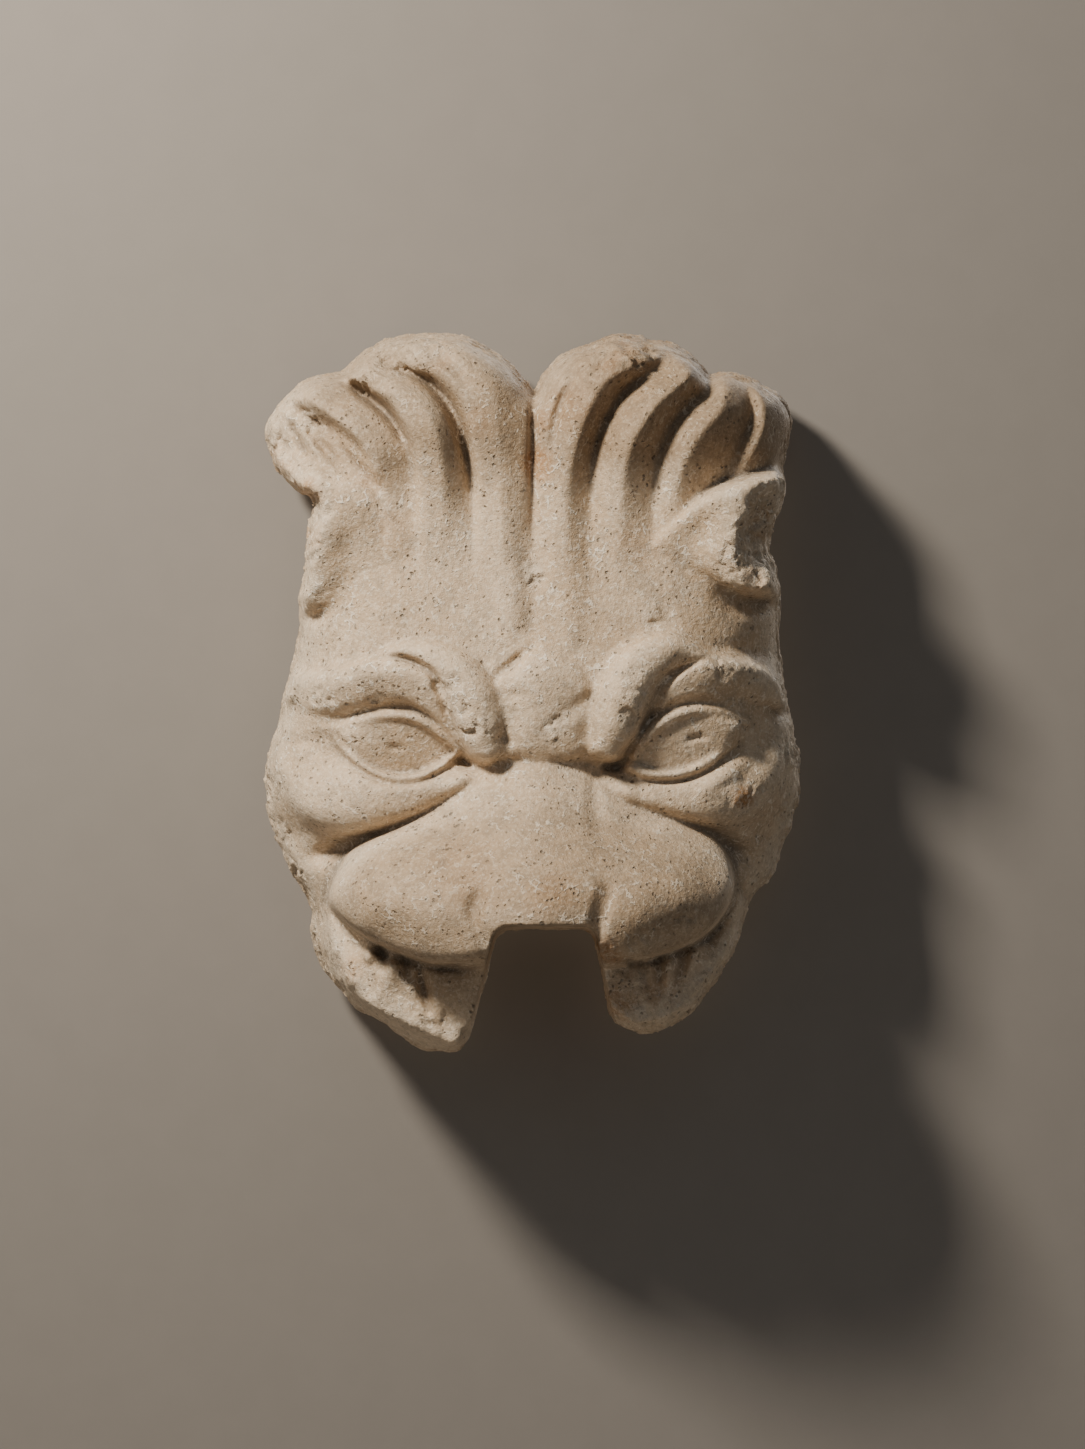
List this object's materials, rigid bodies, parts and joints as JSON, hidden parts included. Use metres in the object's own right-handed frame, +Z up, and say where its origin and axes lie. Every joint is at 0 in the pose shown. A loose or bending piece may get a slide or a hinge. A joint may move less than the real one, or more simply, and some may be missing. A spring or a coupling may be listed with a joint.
{
  "type": "lion head fountain mask",
  "caption": "Carved marble lion head mask with a flat back and an open gap in the lower jaw for a water spout.",
  "frame": {"origin": "middle of the flat back face, at half the mask's height", "axes": "+Z up along the face, -Y the way the lion looks, +X to the viewer's right, +Y into the wall"},
  "size_m": [0.298, 0.1661, 0.3999],
  "materials": {
    "marble": "matt, fine-grained, weathered"
  },
  "bodies": {
    "root": {"mask": "marble"}
  },
  "joints": []
}
